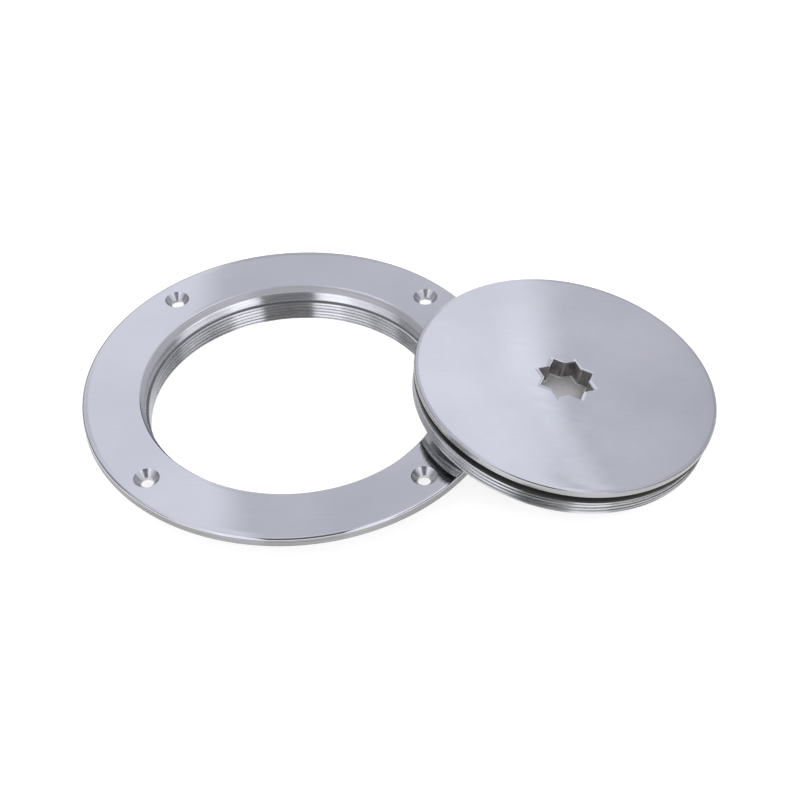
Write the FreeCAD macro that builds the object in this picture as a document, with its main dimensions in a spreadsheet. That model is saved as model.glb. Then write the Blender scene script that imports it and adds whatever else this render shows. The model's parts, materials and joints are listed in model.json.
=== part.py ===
import FreeCAD, Part
import math
import os

import Sketcher

# Deck inspection plate: a flanged ring that is let into a deck, and the round cover that screws into it.
# The cover is off. It leans on the ring's rim, with the lowest point of its skirt on the surface that the
# ring stands on, and it keeps its rubber seal. Lengths are in millimetres, angles in degrees.
# The origin is on the ring's axis, in the face of the flange that lies on the deck, with +Z out of the deck.
# The fine screw threads are not cut. The bore has their major radius, and the cover's skirt has their minor
# radius, so the room between the two is what the threads fill when the cover is screwed in.

SIZES = {
    # Ring: bore, collar and flange
    "thread_radius": 63.5,
    "thread_height": 1.1,
    "collar_wall": 4.0,
    "collar_chamfer": 1.0,
    "ring_height": 17.2,
    "flange_width": 22.5,
    "flange_thickness": 4.0,
    "flange_edge_round": 1.0,
    # Ring: sealing band and mouth cone above the thread, from the flange's top face down
    "band_step": 0.4,
    "band_depth": 7.4,
    "mouth_flare": 1.5,
    "mouth_depth": 3.0,
    "mouth_edge_break": 0.3,
    # Ring: countersunk deck screws
    "screw_count": 4,
    "screw_first_angle": 45.0,
    "screw_edge_distance": 10.6,
    "screw_hole_diameter": 5.5,
    "countersink_diameter": 10.8,
    "countersink_angle": 90.0,
    # Cover: room to the ring, all round the head and in the thread
    "head_clearance": 1.05,
    "thread_clearance": 0.15,
    # Cover: head, seal groove, shoulder and skirt
    "cover_height": 14.6,
    "head_height": 2.75,
    "head_edge_width": 1.5,
    "head_edge_drop": 0.12,
    "head_edge_break": 0.3,
    "groove_depth": 2.85,
    "groove_width": 4.8,
    "shoulder_step": 0.35,
    "shoulder_height": 1.25,
    "skirt_wall": 4.75,
    "skirt_edge_break": 0.15,
    "hollow_chamfer": 1.5,
    "plate_thickness": 5.0,
    "inside_chamfer": 1.5,
    # Cover: eight-pointed key socket, two squares turned by 45 degrees, in a blind boss
    "key_square": 17.46,
    "key_depth": 8.0,
    "key_edge_chamfer": 0.25,
    "key_turn": 27.5,
    "boss_wall": 5.65,
    "boss_floor": 3.0,
    "boss_chamfer": 1.0,
    # Seal: a rubber ring with a crowned outer face
    "seal_squeeze": 0.1,
    "seal_crown": 0.9,
    "seal_clearance": 0.02,
    "seal_side_clearance": 0.1,
    # How the cover leans: how far its skirt laps over the flange, and to which side
    "lean_lap": 34.6,
    "lean_direction": -4.0,
    "lean_clearance": 0.03,
}

doc = FreeCAD.newDocument("deck_inspection_plate")
sheet = doc.addObject("Spreadsheet::Sheet", "Sizes")
for row, (alias, value) in enumerate(SIZES.items(), start=1):
    sheet.set("A%d" % row, alias)
    sheet.set("B%d" % row, str(value))
    sheet.setAlias("B%d" % row, alias)
doc.recompute()


def worked_out(expression):
    """The value of an expression of cells."""
    value = sheet.evalExpression(expression)
    return float(getattr(value, "Value", value))


def origin_feature(body, role):
    """The body's own plane or axis with this role."""
    for feature in body.Origin.OriginFeatures:
        if feature.Role == role:
            return feature
    raise ValueError(role)


def attached_sketch(body, name, role):
    """An empty sketch on one of the body's own planes."""
    sketch = body.newObject("Sketcher::SketchObject", name)
    sketch.AttachmentSupport = [(origin_feature(body, role), "")]
    sketch.MapMode = "FlatFace"
    return sketch


def bind_size(sketch, kind, geometry, name, expression):
    """Ties the Radius or Diameter of one arc or circle of a sketch to an expression."""
    index = sketch.addConstraint(Sketcher.Constraint(kind, geometry, worked_out(expression)))
    sketch.renameConstraint(index, name)
    sketch.setExpression("Constraints." + name, expression)


def place_point(sketch, geometry, position, label, across, up):
    """Ties one point of a sketch to two expressions, its coordinates in the sketch."""
    for kind, axis, letter, expression in (
        ("DistanceX", -2, "x", across),
        ("DistanceY", -1, "y", up),
    ):
        if expression == "0":
            sketch.addConstraint(Sketcher.Constraint("PointOnObject", geometry, position, axis))
            continue
        value = worked_out(expression)
        index = sketch.addConstraint(Sketcher.Constraint(kind, -1, 1, geometry, position, value))
        sketch.renameConstraint(index, label + "_" + letter)
        sketch.setExpression("Constraints.%s_%s" % (label, letter), expression)


def bulging_arc(start, end, radius):
    """An arc from start to end that bulges to the right of the way there."""
    half = (end - start) / 2
    inward = FreeCAD.Vector(-half.y, half.x, 0).normalize()
    centre = start + half + inward * math.sqrt(radius ** 2 - half.Length ** 2)
    angles = [math.atan2(point.y - centre.y, point.x - centre.x) for point in (start, end)]
    return Part.ArcOfCircle(Part.Circle(centre, FreeCAD.Vector(0, 0, 1), radius), *angles)


def draw_outline(sketch, corners, arcs=None):
    """A closed outline, drawn against the clock. Corners maps a name to its two coordinate expressions.

    A straight line starts at each corner, or an arc where arcs gives the corner's name a radius.
    """
    arcs = arcs or {}
    names = list(corners)
    points = [FreeCAD.Vector(worked_out(across), worked_out(up), 0) for across, up in corners.values()]
    count = len(names)
    for index, name in enumerate(names):
        start = points[index]
        end = points[(index + 1) % count]
        if name in arcs:
            sketch.addGeometry(bulging_arc(start, end, worked_out(arcs[name])), False)
        else:
            sketch.addGeometry(Part.LineSegment(start, end), False)
    for index in range(count):
        sketch.addConstraint(Sketcher.Constraint("Coincident", index, 2, (index + 1) % count, 1))
    for index, name in enumerate(names):
        place_point(sketch, index, 1, name, *corners[name])
        if name in arcs:
            bind_size(sketch, "Radius", index, name + "_radius", arcs[name])


def turned_body(name, corners, arcs=None):
    """A body turned about its Z axis from a half section in the XZ plane."""
    body = doc.addObject("PartDesign::Body", name)
    body.Label = name
    sketch = attached_sketch(body, name + "_section", "XZ_Plane")
    draw_outline(sketch, corners, arcs)
    turning = body.newObject("PartDesign::Revolution", name + "_turning")
    turning.Profile = sketch
    turning.ReferenceAxis = (sketch, ["V_Axis"])
    turning.Angle = 360.0
    doc.recompute()
    return body


def circle_edges(shape, radius, height):
    """Names of the circular edges about the Z axis with this radius, at this height."""
    found = []
    for index, edge in enumerate(shape.Edges, start=1):
        curve = edge.Curve
        if not isinstance(curve, Part.Circle):
            continue
        centred = math.hypot(curve.Center.x, curve.Center.y) < 1e-4
        if centred and abs(curve.Radius - radius) < 1e-4 and abs(curve.Center.z - height) < 1e-4:
            found.append("Edge%d" % index)
    if not found:
        raise ValueError("no circular edge of radius %.3f at %.3f" % (radius, height))
    return found


def dress_edges(body, kind, name, amount, circles):
    """A Fillet or a Chamfer on turned edges, each given by the expressions of its radius and height."""
    base = body.Tip
    edges = []
    for radius, height in circles:
        edges += circle_edges(base.Shape, worked_out(radius), worked_out(height))
    feature = body.newObject("PartDesign::" + kind, name)
    feature.Base = (base, edges)
    feature.setExpression("Radius" if kind == "Fillet" else "Size", "Sizes." + amount)
    doc.recompute()


# Deck ring
RING_TOP = "Sizes.flange_thickness"
RING_BOTTOM = "(Sizes.flange_thickness - Sizes.ring_height)"
BAND_FOOT = "(Sizes.flange_thickness - Sizes.band_depth)"
COLLAR_RADIUS = "(Sizes.thread_radius + Sizes.collar_wall)"
FLANGE_RADIUS = "(Sizes.thread_radius + Sizes.collar_wall + Sizes.flange_width)"
BAND_RADIUS = "(Sizes.thread_radius + Sizes.band_step)"
MOUTH_RADIUS = "(Sizes.thread_radius + Sizes.band_step + Sizes.mouth_flare)"
SCREW_CIRCLE = "(%s - Sizes.screw_edge_distance)" % FLANGE_RADIUS

ring = turned_body("deck_ring", {
    "bore_bottom": ("Sizes.thread_radius", RING_BOTTOM),
    "collar_bottom": (COLLAR_RADIUS, RING_BOTTOM),
    "collar_top": (COLLAR_RADIUS, "0"),
    "flange_bottom": (FLANGE_RADIUS, "0"),
    "flange_top": (FLANGE_RADIUS, RING_TOP),
    "mouth_top": (MOUTH_RADIUS, RING_TOP),
    "mouth_bottom": (BAND_RADIUS, RING_TOP + " - Sizes.mouth_depth"),
    "band_bottom": (BAND_RADIUS, BAND_FOOT),
    "bore_top": ("Sizes.thread_radius", BAND_FOOT + " - Sizes.band_step"),
})
dress_edges(ring, "Fillet", "flange_edge", "flange_edge_round", [(FLANGE_RADIUS, RING_TOP)])
dress_edges(ring, "Chamfer", "mouth_edge", "mouth_edge_break", [(MOUTH_RADIUS, RING_TOP)])
dress_edges(ring, "Chamfer", "collar_edge", "collar_chamfer", [(COLLAR_RADIUS, RING_BOTTOM)])

screw_sketch = attached_sketch(ring, "screw_place", "XY_Plane")
screw_sketch.setExpression("AttachmentOffset.Base.z", RING_TOP)
screw_across = SCREW_CIRCLE + " * cos(Sizes.screw_first_angle * 1 deg)"
screw_up = SCREW_CIRCLE + " * sin(Sizes.screw_first_angle * 1 deg)"
screw_centre = FreeCAD.Vector(worked_out(screw_across), worked_out(screw_up), 0)
screw_circle = Part.Circle(screw_centre, FreeCAD.Vector(0, 0, 1), worked_out("Sizes.screw_hole_diameter / 2"))
screw_sketch.addGeometry(screw_circle, False)
place_point(screw_sketch, 0, 3, "centre", screw_across, screw_up)
bind_size(screw_sketch, "Diameter", 0, "width", "Sizes.screw_hole_diameter")
doc.recompute()
screw_hole = ring.newObject("PartDesign::Hole", "screw_hole")
screw_hole.Profile = screw_sketch
doc.recompute()
screw_hole.ThreadType = 0
screw_hole.DepthType = "ThroughAll"
screw_hole.HoleCutType = "Countersink"
screw_hole.setExpression("Diameter", "Sizes.screw_hole_diameter")
screw_hole.setExpression("HoleCutDiameter", "Sizes.countersink_diameter")
screw_hole.setExpression("HoleCutCountersinkAngle", "Sizes.countersink_angle")
doc.recompute()
screw_pattern = ring.newObject("PartDesign::PolarPattern", "screw_holes")
screw_pattern.Originals = [screw_hole]
screw_pattern.Axis = (origin_feature(ring, "Z_Axis"), [""])
screw_pattern.Angle = 360.0
screw_pattern.setExpression("Occurrences", "Sizes.screw_count")
ring.Tip = screw_pattern
doc.recompute()

# Cover, in its own frame: the end of the skirt is at height 0 and the top of the head is at its height
COVER_TOP = "Sizes.cover_height"
HEAD_FOOT = "(Sizes.cover_height - Sizes.head_height)"
GROOVE_FOOT = "(%s - Sizes.groove_width)" % HEAD_FOOT
SHOULDER_FOOT = "(%s - Sizes.shoulder_height)" % GROOVE_FOOT
PLATE_FOOT = "(Sizes.cover_height - Sizes.plate_thickness)"
BOSS_FOOT = "(Sizes.cover_height - Sizes.key_depth - Sizes.boss_floor)"
HEAD_RADIUS = "(%s - Sizes.head_clearance)" % MOUTH_RADIUS
CREST_RADIUS = "(Sizes.thread_radius - Sizes.thread_clearance)"
SKIRT_RADIUS = "(%s - Sizes.thread_height)" % CREST_RADIUS
SHOULDER_RADIUS = "(%s + Sizes.shoulder_step)" % SKIRT_RADIUS
SKIRT_END_RADIUS = "(%s - Sizes.skirt_edge_break)" % SKIRT_RADIUS
GROOVE_RADIUS = "(%s - Sizes.groove_depth)" % CREST_RADIUS
HOLLOW_RADIUS = "(%s - Sizes.skirt_wall)" % SKIRT_RADIUS
HOLLOW_END_RADIUS = "(%s + Sizes.hollow_chamfer)" % HOLLOW_RADIUS
BOSS_RADIUS = "(Sizes.key_square / sqrt(2) + Sizes.boss_wall)"

cover = turned_body("cover", {
    "top_centre": ("0", COVER_TOP),
    "boss_centre": ("0", BOSS_FOOT),
    "boss_low": (BOSS_RADIUS, BOSS_FOOT),
    "boss_root": (BOSS_RADIUS, PLATE_FOOT),
    "hollow_top": (HOLLOW_RADIUS, PLATE_FOOT),
    "hollow_low": (HOLLOW_RADIUS, "Sizes.hollow_chamfer"),
    "hollow_end": (HOLLOW_END_RADIUS, "0"),
    "skirt_end": (SKIRT_END_RADIUS, "0"),
    "skirt_low": (SKIRT_RADIUS, "Sizes.skirt_edge_break"),
    "skirt_high": (SKIRT_RADIUS, SHOULDER_FOOT + " - Sizes.shoulder_step"),
    "shoulder_low": (SHOULDER_RADIUS, SHOULDER_FOOT),
    "shoulder_high": (SHOULDER_RADIUS, GROOVE_FOOT),
    "groove_low": (GROOVE_RADIUS, GROOVE_FOOT),
    "groove_high": (GROOVE_RADIUS, HEAD_FOOT),
    "head_foot": (HEAD_RADIUS, HEAD_FOOT),
    "head_rim": (HEAD_RADIUS, COVER_TOP + " - Sizes.head_edge_drop"),
    "head_flat": (HEAD_RADIUS + " - Sizes.head_edge_width", COVER_TOP),
})
dress_edges(cover, "Chamfer", "head_edge", "head_edge_break",
            [(HEAD_RADIUS, COVER_TOP + " - Sizes.head_edge_drop")])
dress_edges(cover, "Chamfer", "inside_corners", "inside_chamfer",
            [(HOLLOW_RADIUS, PLATE_FOOT), (BOSS_RADIUS, PLATE_FOOT)])
dress_edges(cover, "Chamfer", "boss_edge", "boss_chamfer", [(BOSS_RADIUS, BOSS_FOOT)])

# Half of the key socket is one square, the other half is the same square turned by 45 degrees
key_sketch = attached_sketch(cover, "key_section", "XY_Plane")
key_sketch.setExpression("AttachmentOffset.Base.z", COVER_TOP)
key_sketch.setExpression("AttachmentOffset.Rotation.Angle", "Sizes.key_turn")
HALF_KEY = "Sizes.key_square / 2"
draw_outline(key_sketch, {
    "front_left": ("-" + HALF_KEY, "-" + HALF_KEY),
    "front_right": (HALF_KEY, "-" + HALF_KEY),
    "back_right": (HALF_KEY, HALF_KEY),
    "back_left": ("-" + HALF_KEY, HALF_KEY),
})
key_pocket = cover.newObject("PartDesign::Pocket", "key_square_hole")
key_pocket.Profile = key_sketch
key_pocket.Type = "Length"
key_pocket.setExpression("Length", "Sizes.key_depth")
doc.recompute()
key_star = cover.newObject("PartDesign::PolarPattern", "key_star")
key_star.Originals = [key_pocket]
key_star.Axis = (origin_feature(cover, "Z_Axis"), [""])
key_star.Angle = 45.0
key_star.Occurrences = 2
cover.Tip = key_star
doc.recompute()

# The socket's mouth is broken by a small chamfer along the star
cover_top = worked_out(COVER_TOP)
star_edges = []
for index, edge in enumerate(key_star.Shape.Edges, start=1):
    on_top = all(abs(vertex.Z - cover_top) < 1e-6 for vertex in edge.Vertexes)
    if on_top and isinstance(edge.Curve, Part.Line):
        star_edges.append("Edge%d" % index)
key_mouth = cover.newObject("PartDesign::Chamfer", "key_mouth")
key_mouth.Base = (key_star, star_edges)
key_mouth.setExpression("Size", "Sizes.key_edge_chamfer")
doc.recompute()

# Seal: it lies on the floor of the cover's groove, and its crown stands beyond the ring's sealing band by
# what the band squeezes
SEAL_RADIUS = "(%s + Sizes.seal_squeeze - Sizes.seal_crown)" % BAND_RADIUS
SEAL_LOW = "(%s + Sizes.seal_side_clearance)" % GROOVE_FOOT
SEAL_HIGH = "(%s - Sizes.seal_side_clearance)" % HEAD_FOOT
HALF_SEAL = "(Sizes.groove_width / 2 - Sizes.seal_side_clearance)"
SEAL_INNER = "(%s + Sizes.seal_clearance)" % GROOVE_RADIUS
CROWN_ARC = "(%s * %s + Sizes.seal_crown * Sizes.seal_crown) / (2 * Sizes.seal_crown)" % (HALF_SEAL, HALF_SEAL)

seal = turned_body("seal_ring", {
    "inner_low": (SEAL_INNER, SEAL_LOW),
    "outer_low": (SEAL_RADIUS, SEAL_LOW),
    "outer_high": (SEAL_RADIUS, SEAL_HIGH),
    "inner_high": (SEAL_INNER, SEAL_HIGH),
}, {"outer_low": CROWN_ARC})


def leaning_placement():
    """The cover's place: the end of its skirt lies on the flange's edge and touches the floor.

    The end face meets the ring where the face's inner edge crosses the rim of the flange's flat top.
    That crossing is up the slope from the middle of the face, and how far depends a little on the lean,
    so the two are worked out in turns.
    """
    flat_radius = worked_out(FLANGE_RADIUS + " - Sizes.flange_edge_round")
    end_inner = worked_out(HOLLOW_END_RADIUS)
    end_outer = worked_out(SKIRT_END_RADIUS)
    rise = worked_out("Sizes.ring_height + Sizes.lean_clearance")
    distance = flat_radius + end_inner - worked_out("Sizes.lean_lap")
    lean = 0.0
    crossing = 0.0
    for _ in range(20):
        apart = distance ** 2 + end_inner ** 2 - flat_radius ** 2 - (crossing * math.sin(lean)) ** 2
        crossing = apart / (2 * distance * math.cos(lean))
        lean = math.asin(rise / (end_outer + crossing))
    turn = FreeCAD.Rotation(FreeCAD.Vector(0, 0, 1), worked_out("Sizes.lean_direction"))
    tip = FreeCAD.Rotation(FreeCAD.Vector(0, 1, 0), math.degrees(lean))
    centre = turn.multVec(FreeCAD.Vector(distance, 0, 0))
    centre.z = worked_out(RING_BOTTOM) + end_outer * math.sin(lean)
    return FreeCAD.Placement(centre, turn.multiply(tip))


cover.Placement = leaning_placement()
seal.setExpression("Placement", "cover.Placement")
doc.recompute()

for thing in doc.Objects:
    if "Invalid" in thing.State or "Error" in thing.State:
        raise ValueError("failed feature: " + thing.Name)
pieces = (ring, cover, seal)
for body in pieces:
    if body.Shape.isNull() or not body.Shape.isValid() or len(body.Shape.Solids) != 1:
        raise ValueError("bad solid: " + body.Label)
os.makedirs("parts", exist_ok=True)
for body in pieces:
    body.Shape.exportStep("parts/%s.step" % body.Label)
    print(body.Label, round(body.Shape.Volume), "mm3")
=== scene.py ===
import collections
import json
import math

import bmesh
import bpy
from mathutils import Matrix, Vector


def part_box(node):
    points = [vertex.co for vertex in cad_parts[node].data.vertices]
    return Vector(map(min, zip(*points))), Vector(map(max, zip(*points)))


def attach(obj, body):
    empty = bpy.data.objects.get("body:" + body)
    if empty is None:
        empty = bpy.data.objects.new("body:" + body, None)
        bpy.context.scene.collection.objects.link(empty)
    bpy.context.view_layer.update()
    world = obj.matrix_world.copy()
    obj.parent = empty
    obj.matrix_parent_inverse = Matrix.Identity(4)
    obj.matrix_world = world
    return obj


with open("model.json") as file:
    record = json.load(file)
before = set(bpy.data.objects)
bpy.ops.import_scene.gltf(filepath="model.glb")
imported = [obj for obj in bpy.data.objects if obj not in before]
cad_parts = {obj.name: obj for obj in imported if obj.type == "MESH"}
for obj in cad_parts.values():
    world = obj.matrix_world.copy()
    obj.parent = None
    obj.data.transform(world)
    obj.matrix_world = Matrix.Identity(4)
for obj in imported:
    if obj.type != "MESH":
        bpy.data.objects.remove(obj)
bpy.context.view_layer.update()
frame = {"nodes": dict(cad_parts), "record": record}

# The finish of a screw-in deck plate: a polished ring with a turned bore and screw thread, and the polished
# cover that leans on it, with its turned and threaded skirt, broached key socket and rubber seal.
# Lengths are in metres, angles in degrees.

MM = 0.001
ORIGIN = (0.0, 0.0, 0.0)
Y_AXIS = (0.0, 1.0, 0.0)
Z_AXIS = (0.0, 0.0, 1.0)

# Ring, read from its node
ring_low, ring_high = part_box("deck_ring")
FLANGE_RADIUS = ring_high.x
FLANGE_TOP = ring_high.z
RING_FOOT = ring_low.z

# Ring: sizes that its solid has, and how far each screw is from the middle in x and in y
BORE_RADIUS = 63.5 * MM
BAND_FOOT = FLANGE_TOP - 7.4 * MM
MOUTH_RADIUS = 65.4 * MM
MOUTH_DEPTH = 3.0 * MM
COLLAR_RADIUS = 67.5 * MM
SCREW_CIRCLE = 79.4 * MM
SCREW_ARM = SCREW_CIRCLE * math.sqrt(0.5)
COUNTERSINK_RADIUS = 5.4 * MM

# Cover: the middle of its top and its axis are those of its key socket, the rest are its solid's sizes
socket_mount = next(mount for mount in frame["record"]["mounts"] if mount["name"] == "key_socket")
COVER_TOP_CENTRE = Vector(socket_mount["pos_m"])
COVER_AXIS = Vector(socket_mount["axis"]).normalized()
COVER_HEIGHT = 14.6 * MM
HEAD_RADIUS = 64.35 * MM
HEAD_FOOT = 11.85 * MM
GROOVE_FOOT = 7.05 * MM
GROOVE_RADIUS = 60.5 * MM
SHOULDER_FOOT = 5.8 * MM
SKIRT_RADIUS = 62.25 * MM

# Key socket: two squares, turned apart, whose outlines cross at its inner corners
HALF_KEY = 8.73 * MM
KEY_DEPTH = 8.0 * MM
KEY_TURN = 27.5
SQUARES_APART = 45.0
KEY_INNER_CORNER = HALF_KEY / math.cos(math.pi / 8)

# Threads: their form, the height at which each starts on the X axis, and how they run out at their ends
THREAD_PITCH = 1.75 * MM
FLANK_SLOPE = math.tan(math.radians(30.0))
CREST_WIDTH = THREAD_PITCH / 4
RING_ROOT = 63.15 * MM
RING_CREST = 62.55 * MM
SKIRT_ROOT = 62.8 * MM
SKIRT_CREST = 63.35 * MM
RING_THREAD_START = -0.42 * MM
COVER_THREAD_START = 0.0 * MM
RING_THREAD_TOP = BAND_FOOT - 0.4 * MM
RING_RUN_OUT_SLOPE = 3.0
SKIRT_END_GAP = 0.1 * MM
SHOULDER_RUN_OUT = 0.35 * MM

# Threads: the winding's steps in a turn and its spare turns, how deep the base is in the wall, the gap
# between two turns, the angle from which an edge is sharp, and the most corners that a face keeps
THREAD_STEPS = 180
SPARE_TURNS = 3
IN_WALL = 0.06 * MM
TURN_GAP = 0.005 * MM
SHARP_ANGLE = 30.0
MOST_CORNERS = 4

# Camera: it looks at the ring's middle from this side and height, then turns, tilts and rolls a little
CAMERA_AZIMUTH = 7.15
CAMERA_ELEVATION = 42.415
CAMERA_DISTANCE = 726.7 * MM
CAMERA_TURN = 3.521
CAMERA_TILT = 0.926
CAMERA_ROLL = 5.376
CAMERA_LENS = 76.38
SENSOR_WIDTH = 36.0


def make_camera():
    """The camera at the photograph's place and angle."""
    azimuth = math.radians(CAMERA_AZIMUTH)
    elevation = math.radians(CAMERA_ELEVATION)
    back = Vector((math.sin(azimuth) * math.cos(elevation),
                   -math.cos(azimuth) * math.cos(elevation),
                   math.sin(elevation)))
    right = Vector((math.cos(azimuth), math.sin(azimuth), 0.0))
    up = back.cross(right)
    facing = Matrix((right, up, back)).transposed()
    facing = facing @ Matrix.Rotation(-math.radians(CAMERA_TURN), 3, "Y")
    facing = facing @ Matrix.Rotation(-math.radians(CAMERA_TILT), 3, "X")
    facing = facing @ Matrix.Rotation(-math.radians(CAMERA_ROLL), 3, "Z")
    data = bpy.data.cameras.new("camera")
    data.lens = CAMERA_LENS
    data.sensor_width = SENSOR_WIDTH
    camera = bpy.data.objects.new("camera", data)
    bpy.context.scene.collection.objects.link(camera)
    place = Vector((0.0, 0.0, FLANGE_TOP)) + back * CAMERA_DISTANCE
    camera.matrix_world = Matrix.Translation(place) @ facing.to_4x4()
    bpy.context.scene.camera = camera


# Nodes

# A noise's values lie mostly between these
NOISE_LOW = 0.3
NOISE_HIGH = 0.7

# A Mix node's colour sockets have names that others have too, so they go by number
MIX_FIRST = 6
MIX_SECOND = 7
MIX_RESULT = 2


def new_material(name):
    """An empty node material and its tree."""
    material = bpy.data.materials.new(name)
    material.use_nodes = True
    tree = material.node_tree
    tree.nodes.clear()
    return material, tree


def add_node(tree, kind, values=None, **settings):
    """One node. Settings are its properties, and values maps a socket's name or number to what it gets."""
    node = tree.nodes.new(kind)
    for name, value in settings.items():
        setattr(node, name, value)
    for name, value in (values or {}).items():
        socket = node.inputs[name]
        if isinstance(value, bpy.types.NodeSocket):
            tree.links.new(value, socket)
        else:
            socket.default_value = value
    return node


def spaced(values):
    """Values by the names of sockets, from values by the names of arguments, where _ stands for a space."""
    return {label.replace("_", " "): value for label, value in values.items()}


def math_node(tree, operation, *values, clamp=False):
    """The result of one Math node."""
    node = add_node(tree, "ShaderNodeMath", dict(enumerate(values)), operation=operation, use_clamp=clamp)
    return node.outputs[0]


def vector_node(tree, operation, *values):
    """The result of one Vector Math node."""
    inputs = dict(enumerate(values))
    if operation == "SCALE":
        inputs = {"Vector": values[0], "Scale": values[1]}
    node = add_node(tree, "ShaderNodeVectorMath", inputs, operation=operation)
    return node.outputs["Value" if operation in ("LENGTH", "DOT_PRODUCT") else "Vector"]


def smooth_step(tree, value, start, end):
    """0 at start and 1 at end, with a smooth slope between."""
    node = add_node(tree, "ShaderNodeMapRange", {"Value": value, "From Min": start, "From Max": end},
                    interpolation_type="SMOOTHSTEP")
    return node.outputs[0]


def window(tree, value, start, end, edge):
    """1 between start and end, 0 outside them, with soft edges."""
    opened = smooth_step(tree, value, start - edge / 2, start + edge / 2)
    closed = smooth_step(tree, value, end + edge / 2, end - edge / 2)
    return math_node(tree, "MULTIPLY", opened, closed)


def spread(tree, value, low, high, start=0.0, end=1.0):
    """A value that goes from low to high as another goes from start to end."""
    node = add_node(tree, "ShaderNodeMapRange",
                    {"Value": value, "From Min": start, "From Max": end, "To Min": low, "To Max": high})
    return node.outputs[0]


def weighed_sum(tree, *pairs):
    """The sum of values times their weights, which are given in pairs."""
    total = math_node(tree, "MULTIPLY", *pairs[0])
    for value, weight in pairs[1:]:
        total = math_node(tree, "MULTIPLY_ADD", value, weight, total)
    return total


def blended(tree, first, share, second):
    """One value for its share, and a second for the rest."""
    return weighed_sum(tree, (second, 1.0 - share), (first, share))


def mixed(tree, factor, first, second):
    """A colour between two, each of which is a socket or a colour's red, green and blue."""
    mix = add_node(tree, "ShaderNodeMix", {"Factor": factor}, data_type="RGBA")
    for number, colour in ((MIX_FIRST, first), (MIX_SECOND, second)):
        if isinstance(colour, bpy.types.NodeSocket):
            tree.links.new(colour, mix.inputs[number])
        else:
            mix.inputs[number].default_value = (*colour, 1.0)
    return mix.outputs[MIX_RESULT]


def noise_node(tree, place, scale=1.0, detail=2.0, along=None):
    """The value of one Noise Texture, from 0 to 1. Where along is given, it is a fourth direction."""
    values = {"Vector": place, "Scale": scale, "Detail": detail}
    if along is None:
        return add_node(tree, "ShaderNodeTexNoise", values).outputs[0]
    values["W"] = along
    return add_node(tree, "ShaderNodeTexNoise", values, noise_dimensions="4D").outputs[0]


def new_group(name, inputs, outputs):
    """A shader node group with its named inputs and float outputs, and the sockets for both inside it."""
    group = bpy.data.node_groups.new(name, "ShaderNodeTree")
    for label, kind in inputs.items():
        group.interface.new_socket(label, in_out="INPUT", socket_type="NodeSocket" + kind)
    for label in outputs:
        group.interface.new_socket(label, in_out="OUTPUT", socket_type="NodeSocketFloat")
    return group, add_node(group, "NodeGroupInput").outputs, add_node(group, "NodeGroupOutput").inputs


def use_group(tree, group, **values):
    """The outputs of a group placed in a material. Values are its inputs, with _ for a space in a name."""
    return add_node(tree, "ShaderNodeGroup", spaced(values), node_tree=group).outputs


def finish_material(tree, **values):
    """The shader and the output. Values are the shader's inputs, with _ for a space in a name."""
    shader = add_node(tree, "ShaderNodeBsdfPrincipled", spaced(values))
    add_node(tree, "ShaderNodeOutputMaterial", {"Surface": shader.outputs[0]})


def bumped(tree, height):
    """The normal that a height in metres gives."""
    return add_node(tree, "ShaderNodeBump", {"Height": height, "Strength": 1.0, "Distance": 1.0}).outputs[0]


def object_arm(tree, centre):
    """The way from a centre to the point, from Object coordinates."""
    place = add_node(tree, "ShaderNodeTexCoord").outputs["Object"]
    return vector_node(tree, "SUBTRACT", place, tuple(centre))


def flattened(tree, place):
    """A place with its height left out."""
    return vector_node(tree, "MULTIPLY", place, (1.0, 1.0, 0.0))


def height_along(tree, arm, axis):
    """How far along the axis an arm reaches."""
    return vector_node(tree, "DOT_PRODUCT", arm, tuple(axis))


def distance_round(tree, arm, axis):
    """How far from the axis an arm reaches."""
    return vector_node(tree, "LENGTH", vector_node(tree, "CROSS_PRODUCT", arm, tuple(axis)))


# Polished steel

# Noises of the polish to the metre, its lines stretched along x, then the shares that they have, and where
# the haze starts and is full
PATCH_SCALE = 17.0
PATCH_SHIFT = (0.7, 0.3, 0.1)
WAVE_SCALE = 26.0
FINE_LINE_SCALES = (40.0, 1500.0, 1500.0)
BROAD_LINE_SCALES = (12.0, 320.0, 320.0)
CLOUDS_IN_HAZE = 0.75
PATCHES_IN_TONE = 0.55
LINES_IN_TONE = 0.14
HAZE_STARTS = 0.32
HAZE_FULL = 0.68

# Heights of the polish: its fine lines, and the waves that the mop leaves in the metal
FINE_LINE_HEIGHT = 0.12e-6
WAVINESS = 0.012 * MM

POLISH_COLOURS = ((0.60, 0.605, 0.63), (0.70, 0.70, 0.72))

# Roughness where a polish is clearest and where it is haziest, and the size of its clouds
Polish = collections.namedtuple("Polish", "clearest haziest cloud_size")
POLISHES = {
    "ring_polish": Polish(0.035, 0.10, 40 * MM),
    "cover_polish": Polish(0.045, 0.13, 30 * MM),
}

# Hollows that the mop wears at an edge: the distances where they are deepest and where the face is level
# again, and how far the level face is above the deepest place
Dish = collections.namedtuple("Dish", "deepest level depth")
SCREW_DISH = Dish(COUNTERSINK_RADIUS, COUNTERSINK_RADIUS + 2.5 * MM, 0.012 * MM)
MOUTH_DISH = Dish(MOUTH_RADIUS - 0.3 * MM, MOUTH_RADIUS + 2.2 * MM, 0.03 * MM)
FLANGE_DISH = Dish(FLANGE_RADIUS - 0.4 * MM, FLANGE_RADIUS - 3.4 * MM, 0.12 * MM)
HEAD_DISH = Dish(HEAD_RADIUS + 0.2 * MM, HEAD_RADIUS - 5.0 * MM, 0.04 * MM)
SOCKET_DISH = Dish(HALF_KEY - 0.2 * MM, HALF_KEY + 1.5 * MM, 0.045 * MM)


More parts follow.
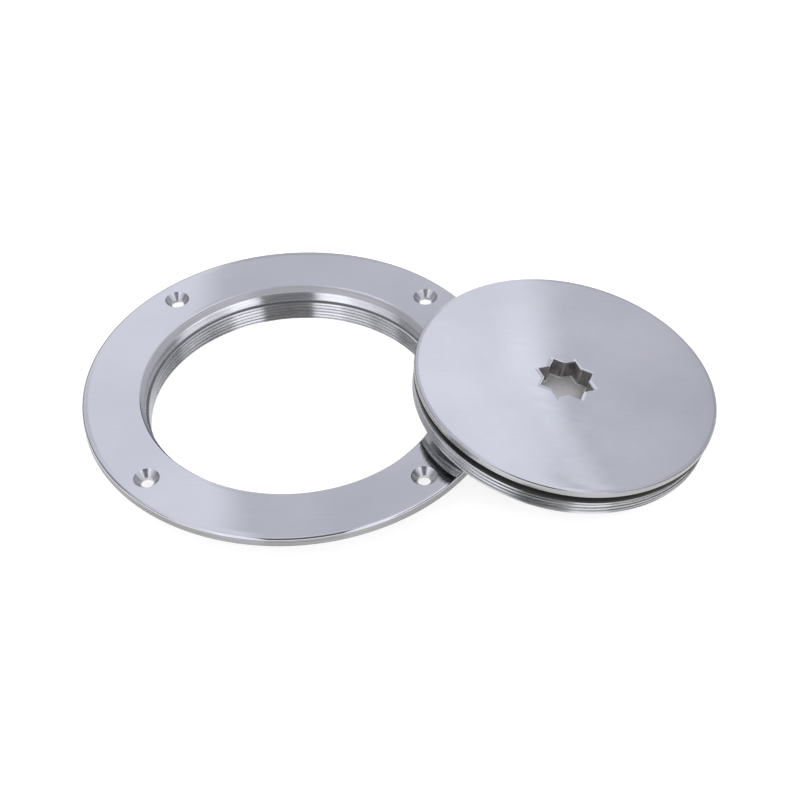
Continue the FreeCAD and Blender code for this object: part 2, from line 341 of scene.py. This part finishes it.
def make_polish_marks():
    """What polishing leaves: clouds of haze, a slow waviness and fine lines that run across the part."""
    group, given, wanted = new_group("polish_marks",
                                     {"Place": "Vector", "Cloud Size": "Float", "Waviness": "Float"},
                                     ("Haze", "Tone", "Height"))
    place = given["Place"]
    clouds = noise_node(group, place, math_node(group, "DIVIDE", 1.0, given["Cloud Size"]), detail=3.0)
    patches = noise_node(group, vector_node(group, "ADD", place, PATCH_SHIFT), PATCH_SCALE, detail=1.0)
    waves = noise_node(group, place, WAVE_SCALE, detail=0.0)
    lines = noise_node(group, vector_node(group, "MULTIPLY", place, FINE_LINE_SCALES))
    broad_lines = noise_node(group, vector_node(group, "MULTIPLY", place, BROAD_LINE_SCALES), detail=1.0)
    haze = blended(group, clouds, CLOUDS_IN_HAZE, broad_lines)
    tone = blended(group, lines, LINES_IN_TONE, blended(group, patches, PATCHES_IN_TONE, clouds))
    height = weighed_sum(group, (waves, given["Waviness"]), (lines, FINE_LINE_HEIGHT))
    group.links.new(smooth_step(group, haze, HAZE_STARTS, HAZE_FULL), wanted["Haze"])
    group.links.new(smooth_step(group, tone, NOISE_LOW, NOISE_HIGH), wanted["Tone"])
    group.links.new(height, wanted["Height"])
    return group


def make_polished_steel(name, dishes):
    """Stainless steel polished on a mop. Dishes gives the height of the hollows that the mop wore."""
    material, tree = new_material(name)
    polish = POLISHES[name]
    marks = use_group(tree, polish_marks, Place=object_arm(tree, ORIGIN), Cloud_Size=polish.cloud_size,
                      Waviness=WAVINESS)
    height = math_node(tree, "ADD", marks["Height"], dishes(tree))
    finish_material(tree, Metallic=1.0, Normal=bumped(tree, height),
                    Base_Color=mixed(tree, marks["Tone"], *POLISH_COLOURS),
                    Roughness=spread(tree, marks["Haze"], polish.clearest, polish.haziest))
    return material


def dished(tree, *hollows):
    """The height of a face with hollows, each given by the distance that it goes by and its dish."""
    return weighed_sum(tree, *((smooth_step(tree, distance, dish.deepest, dish.level), dish.depth)
                               for distance, dish in hollows))


def ring_dishes(tree):
    """The mop rounds the flange's face down a little into each countersink, and over both its edges."""
    arm = object_arm(tree, ORIGIN)
    radius = distance_round(tree, arm, Z_AXIS)
    folded = vector_node(tree, "ABSOLUTE", arm)
    offset = vector_node(tree, "SUBTRACT", folded, (SCREW_ARM, SCREW_ARM, 0.0))
    from_screw = vector_node(tree, "LENGTH", flattened(tree, offset))
    return dished(tree, (from_screw, SCREW_DISH), (radius, MOUTH_DISH), (radius, FLANGE_DISH))


def cover_dishes(tree):
    """The mop rounds the cover's face down over its rim, and a little into the key socket."""
    radius = distance_round(tree, object_arm(tree, COVER_TOP_CENTRE), COVER_AXIS)
    reach = key_reach(tree, key_place(tree))
    return dished(tree, (radius, HEAD_DISH), (reach, SOCKET_DISH))


# Turned steel

# How fast a turned line and a facet change on their way round, to the metre, and broad bands to a line
LINE_CHANGE = 22.0
FACET_CHANGE = 14.0
BANDS_PER_LINE = 0.22
BANDS_IN_TONE = 0.5
LINES_FAINT = 0.25
LINES_FULL = 0.75

# Depth of a line as a part of the feed, and how far the roughness goes up and down
LINE_DEPTH = 0.01
ROUGHNESS_SWING = 0.03

# How far a highlight's stretch is turned from the way that the lines run, in turns
QUARTER_TURN = 0.25

# Painted shade in the corner at the end of a wall: where it starts and ends below the corner, and its soft
# edge, then the dark colour that is painted there
CORNER_START = 0.75 * MM
CORNER_END = 0.05 * MM
CORNER_EDGE = 0.3 * MM
CORNER_SHADE_COLOUR = (0.20, 0.20, 0.205)

# Dark and light colour of the turned walls. The tone goes between them at random with the lathe's marks.
# Each
# wall's pair is set on its own, darker on the ring's rim and mouth and the cover's head and lighter in the
# bore:
# painted shade and painted light for how light falls on each wall.
BORE_COLOURS = ((0.66, 0.66, 0.655), (0.88, 0.88, 0.87))
MOUTH_COLOURS = ((0.43, 0.43, 0.425), (0.54, 0.54, 0.53))
SKIRT_COLOURS = ((0.50, 0.50, 0.49), (0.75, 0.75, 0.74))
HEAD_COLOURS = ((0.38, 0.38, 0.38), (0.53, 0.53, 0.53))
RIM_COLOURS = ((0.30, 0.30, 0.305), (0.40, 0.40, 0.41))
BACK_COLOURS = ((0.42, 0.42, 0.43), (0.56, 0.56, 0.57))
COUNTERSINK_COLOURS = ((0.55, 0.55, 0.56), (0.70, 0.70, 0.71))

# Each wall's finish: its colours, which hold painted shade and light, then the lathe's roughness and feed,
# and the least and the most that the facets of the feed grooves lean along the axis, where they can be seen
Turning = collections.namedtuple("Turning", "colours roughness feed facets")
TURNINGS = {
    "ring_bore": Turning(BORE_COLOURS, 0.20, 0.25 * MM, (28.0, 40.0)),
    "ring_band": Turning(BORE_COLOURS, 0.20, 0.25 * MM, (33.0, 48.0)),
    "ring_mouth": Turning(MOUTH_COLOURS, 0.20, 0.25 * MM, (44.0, 60.0)),
    "ring_rim": Turning(RIM_COLOURS, 0.22, 0.4 * MM, (3.0, 24.0)),
    "ring_back": Turning(BACK_COLOURS, 0.34, 0.5 * MM, None),
    "cover_head": Turning(HEAD_COLOURS, 0.22, 0.3 * MM, (0.0, 24.0)),
    "cover_skirt": Turning(SKIRT_COLOURS, 0.20, 0.25 * MM, (20.0, 42.0)),
    "cover_back": Turning(BACK_COLOURS, 0.34, 0.6 * MM, None),
}

# The middle and the axis that the lines on each piece run round
RING_SPINDLE = (ORIGIN, Z_AXIS)
COVER_SPINDLE = (COVER_TOP_CENTRE, COVER_AXIS)

# The drill's work on the countersinks
COUNTERSINK_FEED = 0.3 * MM
COUNTERSINK_ROUGHNESS = (0.24, 0.34)
COUNTERSINK_STRETCH = 0.9


def make_turning_marks():
    """What a lathe tool leaves: fine lines round an axis, and a few broader ones."""
    group, given, wanted = new_group("turning_marks",
                                     {"Arm": "Vector", "Along": "Float", "Spacing": "Float"},
                                     ("Lines", "Bands", "Height"))
    slow = vector_node(group, "SCALE", given["Arm"], LINE_CHANGE)
    step = math_node(group, "DIVIDE", given["Along"], given["Spacing"])
    lines = noise_node(group, slow, along=step)
    bands = noise_node(group, slow, detail=1.0, along=math_node(group, "MULTIPLY", step, BANDS_PER_LINE))
    depth = math_node(group, "MULTIPLY", given["Spacing"], LINE_DEPTH)
    group.links.new(smooth_step(group, lines, LINES_FAINT, LINES_FULL), wanted["Lines"])
    group.links.new(smooth_step(group, bands, NOISE_LOW, NOISE_HIGH), wanted["Bands"])
    group.links.new(math_node(group, "MULTIPLY", lines, depth), wanted["Height"])
    return group


def turned_shading(tree, arm, axis, feed):
    """The marks on a turned face, and the way they run."""
    along = math_node(tree, "ADD", height_along(tree, arm, axis), distance_round(tree, arm, axis))
    marks = use_group(tree, turning_marks, Arm=arm, Along=along, Spacing=feed)
    run = vector_node(tree, "NORMALIZE", vector_node(tree, "CROSS_PRODUCT", tuple(axis), arm))
    return marks, run


def feed_facets(tree, arm, axis, feed, least, most):
    """The normal on the feed grooves of a turned wall. Their facets lean from least to most degrees."""
    step = math_node(tree, "DIVIDE", height_along(tree, arm, axis), feed)
    groove = noise_node(tree, vector_node(tree, "SCALE", arm, FACET_CHANGE), detail=0.0, along=step)
    rise = spread(tree, groove, math.tan(math.radians(least)), math.tan(math.radians(most)),
                  NOISE_LOW, NOISE_HIGH)
    upright = add_node(tree, "ShaderNodeNewGeometry").outputs["Normal"]
    lean = vector_node(tree, "SCALE", tuple(axis), rise)
    return vector_node(tree, "NORMALIZE", vector_node(tree, "ADD", upright, lean))


def make_turned_steel(name, centre, axis, corner=None):
    """Stainless steel as it leaves the lathe, with its lines round an axis. Corner is the height of the
    corner at a wall's end, where it has one, under which shade is painted into the colour."""
    material, tree = new_material(name)
    turning = TURNINGS[name]
    arm = object_arm(tree, centre)
    marks, run = turned_shading(tree, arm, axis, turning.feed)
    colour = mixed(tree, blended(tree, marks["Bands"], BANDS_IN_TONE, marks["Lines"]), *turning.colours)
    # Painted shade: just under the corner, the wall's colour goes over to a dark colour for the shade in the
    # corner
    if corner:
        shade = window(tree, height_along(tree, arm, axis), corner - CORNER_START, corner - CORNER_END,
                       CORNER_EDGE)
        colour = mixed(tree, shade, colour, CORNER_SHADE_COLOUR)
    if turning.facets:
        normal = feed_facets(tree, arm, axis, turning.feed, *turning.facets)
    else:
        normal = bumped(tree, marks["Height"])
    roughness = spread(tree, marks["Lines"], turning.roughness - ROUGHNESS_SWING,
                       turning.roughness + ROUGHNESS_SWING)
    finish_material(tree, Metallic=1.0, Anisotropic=1.0, Anisotropic_Rotation=QUARTER_TURN, Tangent=run,
                    Base_Color=colour, Normal=normal, Roughness=roughness)
    return material


def make_countersink_steel():
    """Four turned cones and holes, each with its lines round its own screw."""
    material, tree = new_material("countersink_steel")
    arm = object_arm(tree, ORIGIN)
    side = vector_node(tree, "SIGN", arm)
    centre = vector_node(tree, "MULTIPLY", side, (SCREW_ARM, SCREW_ARM, 0.0))
    own_arm = vector_node(tree, "SUBTRACT", arm, centre)
    marks, run = turned_shading(tree, own_arm, Z_AXIS, COUNTERSINK_FEED)
    finish_material(tree, Metallic=1.0, Anisotropic=COUNTERSINK_STRETCH, Anisotropic_Rotation=QUARTER_TURN,
                    Tangent=run, Base_Color=mixed(tree, marks["Lines"], *COUNTERSINK_COLOURS),
                    Normal=bumped(tree, marks["Height"]),
                    Roughness=spread(tree, marks["Bands"], *COUNTERSINK_ROUGHNESS))
    return material


# Key socket

# Walls: noises to the metre, across the broach's way and down it for its strokes, and what they give
STROKE_SCALES = (2200.0, 2200.0, 90.0)
WALL_SMEAR_SCALE = 260.0
STROKES_IN_TONE = 0.6
STROKE_HEIGHT = 0.02 * MM
WALL_CORNER_WIDTH = 0.35 * MM
WALL_CORNER_LIGHT = 0.5
WALL_COLOURS = ((0.13, 0.118, 0.11), (0.42, 0.405, 0.40))
WALL_METAL = 0.7
WALL_ROUGHNESS = (0.35, 0.5)

# Floor: noises to the metre, and what they give
FLOOR_SMEAR_SCALE = 420.0
FLOOR_RING_CHANGE = 40.0
FLOOR_RING_SCALE = 2200.0
FLOOR_RING_HEIGHT = 0.004 * MM
FLOOR_SMEAR_LIGHT = 0.55
FLOOR_COLOURS = ((0.46, 0.455, 0.455), (0.95, 0.95, 0.95))
FLOOR_METAL = 0.35
FLOOR_ROUGHNESS = (0.3, 0.45)

# Floor, all measured inside half a key's width: where the light edge along the walls starts and is full, and
# where the drill's dark ring lies
FLOOR_EDGE_STARTS = 0.75 * MM
FLOOR_EDGE_FULL = 0.45 * MM
FLOOR_EDGE_LIGHT = 0.65
DRILL_RING_INSIDE = 0.5 * MM
DRILL_RING_OUTSIDE = 0.15 * MM
DRILL_RING_EDGE = 0.25 * MM
DRILL_RING_SHADE = 0.16


def key_place(tree):
    """Place in the key socket: the way from its mouth's middle, in the directions of one of its squares."""
    arm = object_arm(tree, COVER_TOP_CENTRE)
    turn = cover_frame().to_3x3() @ Matrix.Rotation(math.radians(KEY_TURN), 3, "Z")
    parts = [vector_node(tree, "DOT_PRODUCT", arm, tuple(turn.col[index])) for index in range(3)]
    return add_node(tree, "ShaderNodeCombineXYZ", dict(enumerate(parts))).outputs[0]


def key_reach(tree, place):
    """How far a place reaches towards the nearer square's side: half a key's width on the outline."""
    flat = flattened(tree, place)
    angle = math.radians(SQUARES_APART)
    turned = add_node(tree, "ShaderNodeVectorRotate", {"Vector": flat, "Angle": angle},
                      rotation_type="Z_AXIS").outputs[0]
    reaches = []
    for way in (flat, turned):
        parts = add_node(tree, "ShaderNodeSeparateXYZ", {0: vector_node(tree, "ABSOLUTE", way)}).outputs
        reaches.append(math_node(tree, "MAXIMUM", parts[0], parts[1]))
    return math_node(tree, "MINIMUM", *reaches)


def make_key_wall_steel():
    """Broached walls: dark, with marks down the broach's way and a lighter line down each inner corner."""
    material, tree = new_material("key_wall_steel")
    place = key_place(tree)
    radius = vector_node(tree, "LENGTH", flattened(tree, place))
    corner = smooth_step(tree, radius, KEY_INNER_CORNER + WALL_CORNER_WIDTH, KEY_INNER_CORNER)
    strokes = noise_node(tree, vector_node(tree, "MULTIPLY", place, STROKE_SCALES), detail=3.0)
    smears = noise_node(tree, place, WALL_SMEAR_SCALE)
    tone = smooth_step(tree, blended(tree, strokes, STROKES_IN_TONE, smears), NOISE_LOW, NOISE_HIGH)
    tone = math_node(tree, "ADD", tone, math_node(tree, "MULTIPLY", corner, WALL_CORNER_LIGHT))
    height = math_node(tree, "MULTIPLY", strokes, STROKE_HEIGHT)
    finish_material(tree, Metallic=WALL_METAL, Normal=bumped(tree, height),
                    Base_Color=mixed(tree, tone, *WALL_COLOURS),
                    Roughness=spread(tree, smears, *WALL_ROUGHNESS))
    return material


def make_key_floor_steel():
    """The socket's floor: drilled flat in the middle, with the broach's light edge along the walls."""
    material, tree = new_material("key_floor_steel")
    place = key_place(tree)
    radius = vector_node(tree, "LENGTH", flattened(tree, place))
    edge = smooth_step(tree, key_reach(tree, place), HALF_KEY - FLOOR_EDGE_STARTS,
                       HALF_KEY - FLOOR_EDGE_FULL)
    drill_ring = window(tree, radius, HALF_KEY - DRILL_RING_INSIDE, HALF_KEY - DRILL_RING_OUTSIDE,
                        DRILL_RING_EDGE)
    smears = noise_node(tree, place, FLOOR_SMEAR_SCALE, detail=3.0)
    rings = noise_node(tree, vector_node(tree, "SCALE", place, FLOOR_RING_CHANGE),
                       along=math_node(tree, "MULTIPLY", radius, FLOOR_RING_SCALE))
    tone = weighed_sum(tree, (smears, FLOOR_SMEAR_LIGHT), (edge, FLOOR_EDGE_LIGHT))
    shade = math_node(tree, "MULTIPLY", drill_ring, DRILL_RING_SHADE)
    tone = math_node(tree, "SUBTRACT", tone, shade, clamp=True)
    height = math_node(tree, "MULTIPLY", rings, FLOOR_RING_HEIGHT)
    finish_material(tree, Metallic=FLOOR_METAL, Normal=bumped(tree, height),
                    Base_Color=mixed(tree, tone, *FLOOR_COLOURS),
                    Roughness=spread(tree, smears, *FLOOR_ROUGHNESS))
    return material


# Rubber

# Noises to the metre, the moulding seam, and what they give
GRAIN_SCALE = 2400.0
DUST_SCALE = 160.0
DUST_STARTS = 0.45
DUST_FULL = 0.8
SEAM_FOOT = 0.15 * MM
SEAM_CREST = 0.05 * MM
SEAM_HEIGHT = 0.02 * MM
GRAIN_HEIGHT = 0.01 * MM
RUBBER_COLOURS = ((0.004, 0.004, 0.005), (0.012, 0.012, 0.013))
RUBBER_ROUGHNESS = (0.38, 0.52)
RUBBER_SHINE = 0.2


def make_rubber():
    """Black moulded rubber, with a faint seam round the middle of its crown."""
    material, tree = new_material("seal_rubber")
    arm = object_arm(tree, COVER_TOP_CENTRE)
    height = height_along(tree, arm, COVER_AXIS)
    seam_depth = COVER_HEIGHT - (HEAD_FOOT + GROOVE_FOOT) / 2
    from_seam = math_node(tree, "ABSOLUTE", math_node(tree, "ADD", height, seam_depth))
    seam = smooth_step(tree, from_seam, SEAM_FOOT, SEAM_CREST)
    grain = noise_node(tree, arm, GRAIN_SCALE, detail=3.0)
    dust = smooth_step(tree, noise_node(tree, arm, DUST_SCALE, detail=4.0), DUST_STARTS, DUST_FULL)
    relief = weighed_sum(tree, (seam, SEAM_HEIGHT), (grain, GRAIN_HEIGHT))
    finish_material(tree, Normal=bumped(tree, relief), Specular_IOR_Level=RUBBER_SHINE,
                    Base_Color=mixed(tree, dust, *RUBBER_COLOURS),
                    Roughness=spread(tree, grain, *RUBBER_ROUGHNESS))
    return material


# Pieces


def new_object(name, bm, material):
    """An object in the scene with a bmesh's form and one material."""
    mesh = bpy.data.meshes.new(name)
    bm.to_mesh(mesh)
    bm.free()
    mesh.materials.append(material)
    made = bpy.data.objects.new(name, mesh)
    bpy.context.scene.collection.objects.link(made)
    return made


def finish_piece(name, bm, place, material):
    """A piece with a bmesh's form and its place in its mesh, which rides with the ring."""
    bmesh.ops.transform(bm, matrix=place, verts=bm.verts[:])
    for face in bm.faces:
        face.smooth = True
    piece = new_object(name, bm, material)
    piece.data.set_sharp_from_angle(angle=math.radians(SHARP_ANGLE))
    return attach(piece, "root")


def helical_ridge(section, low, high, start):
    """A closed ridge: a section of (radius, height) pairs, wound from below the low plane to above the high
    one, and cut off flat at both. Start is the height that the section's middle has on the X axis."""
    bm = bmesh.new()
    first = low - SPARE_TURNS / 2 * THREAD_PITCH + (start - low) % THREAD_PITCH
    turns = math.ceil((high - low) / THREAD_PITCH) + SPARE_TURNS
    verts = [bm.verts.new((radius, 0.0, first + height)) for radius, height in section]
    edges = [bm.edges.new((verts[index - 1], verts[index])) for index in range(len(verts))]
    bmesh.ops.spin(bm, geom=verts + edges, axis=Z_AXIS, cent=ORIGIN, angle=math.tau * turns,
                   steps=THREAD_STEPS * turns, dvec=(0, 0, THREAD_PITCH / THREAD_STEPS), use_merge=False)
    for height, outwards in ((low, -1), (high, 1)):
        geom = bm.verts[:] + bm.edges[:] + bm.faces[:]
        cut = bmesh.ops.bisect_plane(bm, geom=geom, plane_co=(0, 0, height), plane_no=(0, 0, outwards),
                                     clear_outer=True)
        rim = [edge for edge in cut["geom_cut"] if isinstance(edge, bmesh.types.BMEdge)]
        bmesh.ops.holes_fill(bm, edges=rim, sides=0)
    bmesh.ops.triangulate(bm, faces=[face for face in bm.faces if len(face.verts) > MOST_CORNERS])
    bmesh.ops.recalc_face_normals(bm, faces=bm.faces[:])
    return bm


def ridge_section(base, root, crest):
    """One pitch of a worn thread, in (radius, height) pairs: a ridge on a flat root, based in the wall."""
    half = CREST_WIDTH / 2
    foot = half + abs(root - crest) * FLANK_SLOPE
    end = THREAD_PITCH / 2 - TURN_GAP
    return [(base, -end), (root, -end), (root, -foot), (crest, -half),
            (crest, half), (root, foot), (root, end), (base, end)]


def hold_radius(bm, limit, outermost):
    """Pulls vertices to the limit at their height, which is the outermost radius or else the innermost."""
    for vert in bm.verts:
        radius = math.hypot(vert.co.x, vert.co.y)
        bound = limit(vert.co.z)
        if (radius > bound) == outermost:
            vert.co.x *= bound / radius
            vert.co.y *= bound / radius


def make_ring_thread(material):
    """The internal thread, from the collar's end up to the cone under the sealing band."""
    section = ridge_section(BORE_RADIUS + IN_WALL, RING_ROOT, RING_CREST)
    bm = helical_ridge(section, RING_FOOT, RING_THREAD_TOP, RING_THREAD_START)
    hold_radius(bm, lambda height: BORE_RADIUS - RING_RUN_OUT_SLOPE * (RING_THREAD_TOP - height), False)
    piece = finish_piece("ring_thread", bm, Matrix.Identity(4), material)


def cover_frame():
    """Moves a mesh from the cover's own frame, in which its skirt ends at height 0, to its place."""
    across = Vector(Y_AXIS).cross(COVER_AXIS).normalized()
    turn = Matrix((across, COVER_AXIS.cross(across), COVER_AXIS)).transposed()
    return Matrix.Translation(COVER_TOP_CENTRE - COVER_AXIS * COVER_HEIGHT) @ turn.to_4x4()


def make_cover_thread(material):
    """The external thread, from the skirt's end up to its shoulder."""
    section = ridge_section(SKIRT_RADIUS - IN_WALL, SKIRT_ROOT, SKIRT_CREST)
    bm = helical_ridge(section, SKIRT_END_GAP, SHOULDER_FOOT - SKIRT_END_GAP, COVER_THREAD_START)
    hold_radius(bm, lambda height: SKIRT_RADIUS - SKIRT_END_GAP + height, True)
    hold_radius(bm, lambda height: SKIRT_RADIUS + SHOULDER_RUN_OUT + (SHOULDER_FOOT - height), True)
    piece = finish_piece("cover_thread", bm, cover_frame(), material)


# Faces of the nodes

# Slack in a face's place, and how far inside an outer wall a face still belongs to it
PLACE_SLACK = 0.01 * MM
WALL_SLACK = 0.1 * MM

# Ring: the edges that are polished with the flange, and how far a face looks up, from 1 down to -1
INSIDE_COLLAR = COLLAR_RADIUS - MM
FLANGE_EDGE = 0.31 * MM
RING_LEVEL = 0.99
RING_UPWARDS = 0.01
RING_UPRIGHT = 0.1
RING_DOWNWARDS = -0.5

# Cover: the edges that are polished with its face, and how far a face looks along the axis
FACE_EDGE = 0.5 * MM
FACE_RIM = HEAD_RADIUS - MM
FACE_LEVEL = 0.9
FACE_UPWARDS = 0.2
SKIRT_DOWNWARDS = -0.5
SOCKET_RADIUS = 1.5 * HALF_KEY


def dress_node(name, materials, choose):
    """Gives each face of a node one of the materials, by the name that choose gives for the face."""
    mesh = frame["nodes"][name].data
    mesh.materials.clear()
    places = {}
    for index, (label, material) in enumerate(materials.items()):
        mesh.materials.append(material)
        places[label] = index
    for face in mesh.polygons:
        face.material_index = places[choose(face.center, face.normal)]


def ring_region(middle, normal):
    """Which finish a face of the ring has."""
    radius = math.hypot(middle.x, middle.y)
    from_screw = math.hypot(abs(middle.x) - SCREW_ARM, abs(middle.y) - SCREW_ARM)
    if from_screw < COUNTERSINK_RADIUS and abs(normal.z) < RING_LEVEL:
        return "countersink"
    if radius < INSIDE_COLLAR and middle.z < FLANGE_TOP - FLANGE_EDGE and normal.z > RING_DOWNWARDS:
        if middle.z > FLANGE_TOP - MOUTH_DEPTH:
            return "mouth"
        return "band" if middle.z > BAND_FOOT else "bore"
    if radius > FLANGE_RADIUS - WALL_SLACK and abs(normal.z) < RING_UPRIGHT:
        return "rim"
    if normal.z > RING_UPWARDS:
        return "polish"
    return "back"


def cover_region(middle, normal):
    """Which finish a face of the cover has."""
    arm = middle - COVER_TOP_CENTRE
    depth = -arm.dot(COVER_AXIS)
    radius = (arm + COVER_AXIS * depth).length
    facing = normal.dot(COVER_AXIS)
    if depth < FACE_EDGE and facing > (FACE_LEVEL if radius > FACE_RIM else FACE_UPWARDS):
        return "polish"
    if radius < SOCKET_RADIUS and depth < KEY_DEPTH - PLACE_SLACK:
        return "key_wall"
    if radius < SOCKET_RADIUS and depth < KEY_DEPTH + PLACE_SLACK:
        return "key_floor"
    outside = radius > GROOVE_RADIUS - WALL_SLACK
    if outside and depth < COVER_HEIGHT - HEAD_FOOT - PLACE_SLACK:
        return "head"
    if outside and (facing > SKIRT_DOWNWARDS or depth < COVER_HEIGHT - GROOVE_FOOT):
        return "skirt"
    return "back"


# Studio

WHITE = (1.0, 1.0, 1.0, 1.0)
WORLD_LIGHT = 1.0
TABLE_SIZE = 6.0
TABLE_GREY = (0.5, 0.5, 0.5, 1.0)
TABLE_GLOW = 0.75
TENT_RADIUS = 0.75
TENT_SEGMENTS = 64
TENT_COLOUR = (0.975, 0.99, 1.10, 1.0)
ROOM_LIGHT = 0.15

# The soft boxes and panes of the tent. Side runs from -1 at the camera's left to 1 at its right, and rise
# from 0 degrees behind the camera over 90 overhead to 180 at the back. For each there are its start, its end
# and the width of its soft edge, then the shift of side for each degree of rise past the panes' middle, and
# the light that the pane adds.
Pane = collections.namedtuple("Pane", "side_from side_to side_edge rise_from rise_to rise_edge lean light")
PANES = {
    "back_cloth": Pane(-0.78, 0.78, 0.50, 84, 155, 14, 0.0, 0.54),
    "back_left_pane": Pane(-0.30, -0.085, 0.05, 112, 165, 10, 0.0, 0.25),
    "back_right_pane": Pane(0.33, 0.505, 0.05, 108, 165, 8, 0.003, 0.30),
    "slanting_seam": Pane(0.500, 0.528, 0.014, 124, 138, 4, 0.0082, 0.20),
    "overhead_cloth": Pane(-0.75, 0.80, 0.12, 62, 104, 12, 0.0, 0.34),
    "left_box": Pane(-0.62, -0.32, 0.05, -12, 74, 12, 0.0, 1.10),
    "left_wing": Pane(-0.86, -0.60, 0.06, -8, 50, 12, 0.0, 0.70),
    "right_box": Pane(0.27, 0.60, 0.05, -12, 76, 12, 0.0, 1.05),
    "right_wing": Pane(0.58, 0.74, 0.06, -8, 50, 12, 0.0, 0.25),
    "left_end": Pane(-1.05, -0.62, 0.06, 48, 84, 14, 0.0, 0.60),
    "right_end": Pane(0.60, 1.05, 0.06, 48, 84, 14, 0.0, 0.75),
}
PANE_MIDDLE = 131


def make_world():
    """White light from every side, for all that isn't a reflection."""
    world = bpy.data.worlds.new("studio")
    bpy.context.scene.world = world
    world.use_nodes = True
    background = world.node_tree.nodes["Background"]
    background.inputs["Color"].default_value = WHITE
    background.inputs["Strength"].default_value = WORLD_LIGHT


def make_floor():
    """A white table top with the object's soft shadow, a little lighter to the camera and in reflections."""
    bm = bmesh.new()
    bmesh.ops.create_grid(bm, x_segments=1, y_segments=1, size=TABLE_SIZE)
    bmesh.ops.translate(bm, verts=bm.verts[:], vec=(0, 0, RING_FOOT))
    material, tree = new_material("floor_white")
    light_path = add_node(tree, "ShaderNodeLightPath").outputs
    seen = math_node(tree, "MAXIMUM", light_path["Is Camera Ray"], light_path["Is Glossy Ray"])
    seen = math_node(tree, "MAXIMUM", seen, light_path["Is Transmission Ray"])
    surface = add_node(tree, "ShaderNodeBsdfDiffuse", {"Color": TABLE_GREY})
    glow = add_node(tree, "ShaderNodeEmission", {"Strength": math_node(tree, "MULTIPLY", seen, TABLE_GLOW)})
    both = add_node(tree, "ShaderNodeAddShader", {0: surface.outputs[0], 1: glow.outputs[0]})
    add_node(tree, "ShaderNodeOutputMaterial", {"Surface": both.outputs[0]})
    new_object("floor", bm, material)


def tent_cloth():
    """The light that the tent sends from each direction: a dim room with its soft boxes and panes."""
    material, tree = new_material("tent_cloth")
    way = vector_node(tree, "NORMALIZE", object_arm(tree, ORIGIN))
    azimuth = math.radians(CAMERA_AZIMUTH)
    side = vector_node(tree, "DOT_PRODUCT", way, (math.cos(azimuth), math.sin(azimuth), 0.0))
    front = vector_node(tree, "DOT_PRODUCT", way, (math.sin(azimuth), -math.cos(azimuth), 0.0))
    up = vector_node(tree, "DOT_PRODUCT", way, Z_AXIS)
    rise = math_node(tree, "DEGREES", math_node(tree, "ARCTAN2", up, front))
    past_middle = math_node(tree, "SUBTRACT", rise, PANE_MIDDLE)
    level = ROOM_LIGHT
    for pane in PANES.values():
        place = math_node(tree, "MULTIPLY_ADD", past_middle, pane.lean, side)
        across = window(tree, place, pane.side_from, pane.side_to, pane.side_edge)
        along = window(tree, rise, pane.rise_from, pane.rise_to, pane.rise_edge)
        shape = math_node(tree, "MULTIPLY", across, along)
        level = math_node(tree, "MULTIPLY_ADD", shape, pane.light, level)
    emission = add_node(tree, "ShaderNodeEmission", {"Color": TENT_COLOUR, "Strength": level})
    add_node(tree, "ShaderNodeOutputMaterial", {"Surface": emission.outputs[0]})
    material.cycles.emission_sampling = "NONE"
    return material


def make_tent():
    """A tent of white cloth round the set, which is seen only in reflections."""
    bm = bmesh.new()
    bmesh.ops.create_uvsphere(bm, u_segments=TENT_SEGMENTS, v_segments=TENT_SEGMENTS // 2,
                              radius=TENT_RADIUS)
    geom = bm.verts[:] + bm.edges[:] + bm.faces[:]
    bmesh.ops.bisect_plane(bm, geom=geom, plane_co=(0, 0, RING_FOOT), plane_no=(0, 0, -1),
                           clear_outer=True)
    tent = new_object("tent", bm, tent_cloth())
    tent.visible_camera = False
    tent.visible_diffuse = False
    tent.visible_shadow = False


make_camera()
make_world()
make_floor()
make_tent()
bpy.context.scene.view_settings.view_transform = "Standard"

polish_marks = make_polish_marks()
turning_marks = make_turning_marks()
ring_bore = make_turned_steel("ring_bore", *RING_SPINDLE, corner=BAND_FOOT)
cover_skirt = make_turned_steel("cover_skirt", *COVER_SPINDLE)
dress_node("deck_ring", {
    "polish": make_polished_steel("ring_polish", ring_dishes),
    "rim": make_turned_steel("ring_rim", *RING_SPINDLE),
    "mouth": make_turned_steel("ring_mouth", *RING_SPINDLE),
    "band": make_turned_steel("ring_band", *RING_SPINDLE),
    "bore": ring_bore,
    "countersink": make_countersink_steel(),
    "back": make_turned_steel("ring_back", *RING_SPINDLE),
}, ring_region)
dress_node("cover", {
    "polish": make_polished_steel("cover_polish", cover_dishes),
    "head": make_turned_steel("cover_head", *COVER_SPINDLE),
    "skirt": cover_skirt,
    "key_wall": make_key_wall_steel(),
    "key_floor": make_key_floor_steel(),
    "back": make_turned_steel("cover_back", *COVER_SPINDLE),
}, cover_region)
dress_node("seal_ring", {"rubber": make_rubber()}, lambda middle, normal: "rubber")
make_ring_thread(ring_bore)
make_cover_thread(cover_skirt)
